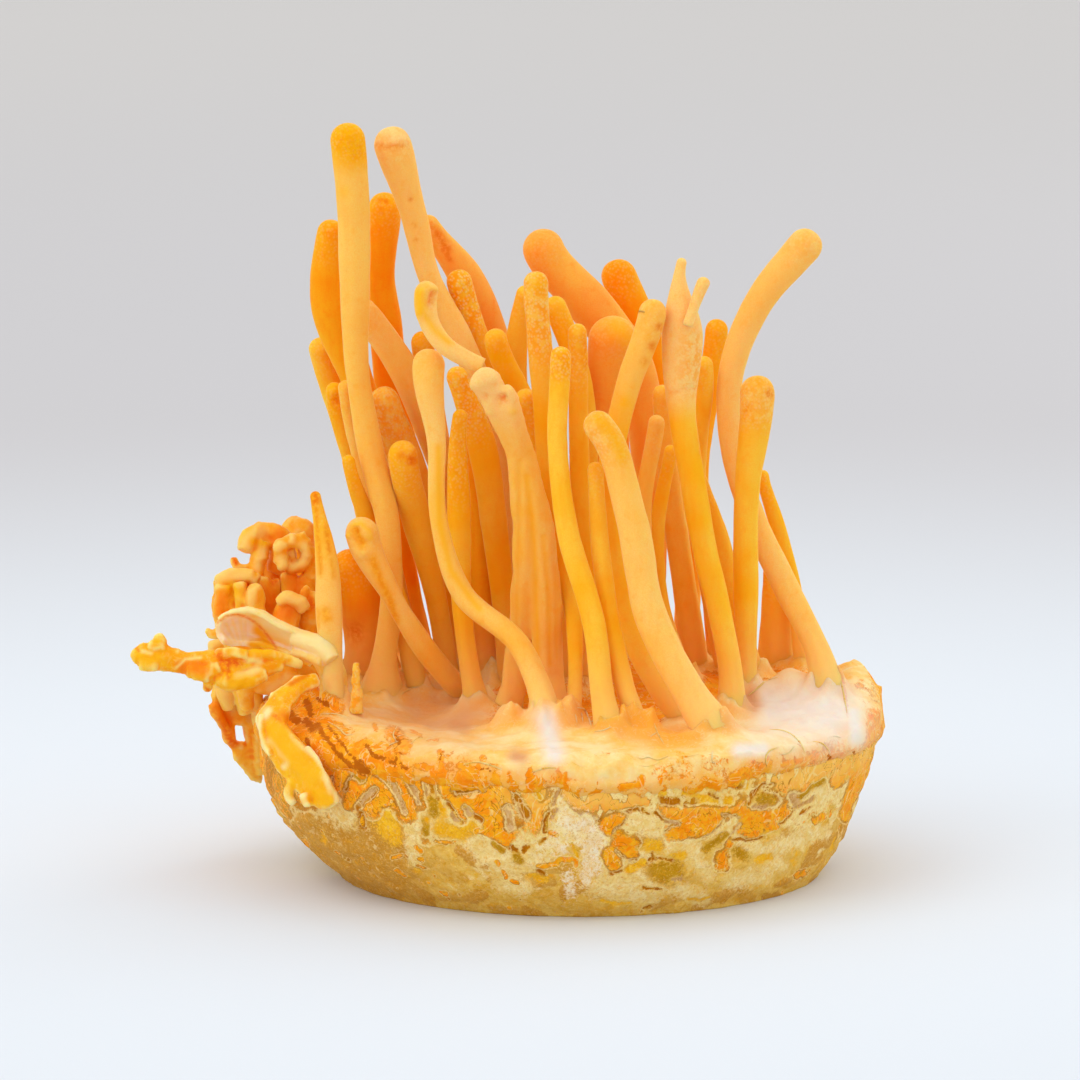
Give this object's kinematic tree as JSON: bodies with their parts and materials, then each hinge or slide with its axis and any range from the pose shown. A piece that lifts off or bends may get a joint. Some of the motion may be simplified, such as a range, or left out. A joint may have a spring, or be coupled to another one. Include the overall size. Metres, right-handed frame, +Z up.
{
  "type": "cordyceps bunch",
  "caption": "Bunch of cultivated orange cordyceps: slender clubbed fingers standing close together on a felted round cake of grown-through rice.",
  "frame": {"origin": "middle of the flat patch that the rice cake rests on", "axes": "+X to the bunch's right seen from its front, +Y from its front to its back, +Z up along the fingers"},
  "size_m": [0.0989, 0.0828, 0.0995],
  "materials": {
    "orange_flesh": "matte",
    "pale_orange_flesh": "matte",
    "deep_orange_flesh": "matte",
    "glossy_orange_flesh": "satin",
    "mycelium_felt": "matte",
    "grown_through_rice": "matte"
  },
  "bodies": {
    "root": {"finger_tallest": "orange_flesh", "finger_spike": "orange_flesh", "finger_spoon": "pale_orange_flesh", "finger_s_bend": "pale_orange_flesh", "finger_pointed": "orange_flesh", "finger_brown_scar": "orange_flesh", "finger_behind_pointed": "orange_flesh", "finger_behind_bend": "orange_flesh", "finger_shaded_left": "deep_orange_flesh", "finger_thick_club": "orange_flesh", "finger_pale_slip": "pale_orange_flesh", "finger_red_spot": "orange_flesh", "finger_short_slip": "orange_flesh", "finger_far_left": "orange_flesh", "finger_banana": "deep_orange_flesh", "finger_deep_orange": "deep_orange_flesh", "finger_pale_diagonal": "pale_orange_flesh", "finger_flat_topped": "pale_orange_flesh", "finger_fat_diagonal": "deep_orange_flesh", "finger_grainy_left": "orange_flesh", "finger_hooked_branch": "pale_orange_flesh", "finger_thick_arch": "deep_orange_flesh", "finger_grainy_middle": "orange_flesh", "finger_grainy_front": "orange_flesh", "finger_straight_middle": "orange_flesh", "finger_great_arch": "pale_orange_flesh", "finger_long_bow": "orange_flesh", "finger_low_slip": "orange_flesh", "finger_pale_short": "pale_orange_flesh", "finger_thin_shaded": "orange_flesh", "finger_behind_fork": "orange_flesh", "finger_ball_headed": "deep_orange_flesh", "finger_fat_blurred": "deep_orange_flesh", "finger_back_tip": "deep_orange_flesh", "finger_pale_behind": "orange_flesh", "finger_leaning_small": "orange_flesh", "finger_yellow_band": "orange_flesh", "finger_tucked": "orange_flesh", "finger_forked": "orange_flesh", "finger_fork_prong": "orange_flesh", "finger_right_club": "orange_flesh", "finger_far_right": "pale_orange_flesh", "finger_red_tip": "deep_orange_flesh", "finger_narrow_right": "orange_flesh", "finger_between_right": "orange_flesh", "finger_thin_right": "orange_flesh", "finger_stub_right": "orange_flesh", "finger_back_middle": "deep_orange_flesh", "finger_broad_fused": "pale_orange_flesh", "lobe_curled_crest": "orange_flesh", "lobe_curled_ring": "orange_flesh", "lobe_pale_knob": "orange_flesh", "lobe_left_hood": "orange_flesh", "lobe_middle_fold": "orange_flesh", "lobe_ear": "pale_orange_flesh", "lobe_antler": "glossy_orange_flesh", "lobe_hanging_leaf": "glossy_orange_flesh", "lobe_back_fringe": "deep_orange_flesh", "mycelium_mat": "mycelium_felt", "rice_cake": "grown_through_rice"}
  },
  "joints": []
}
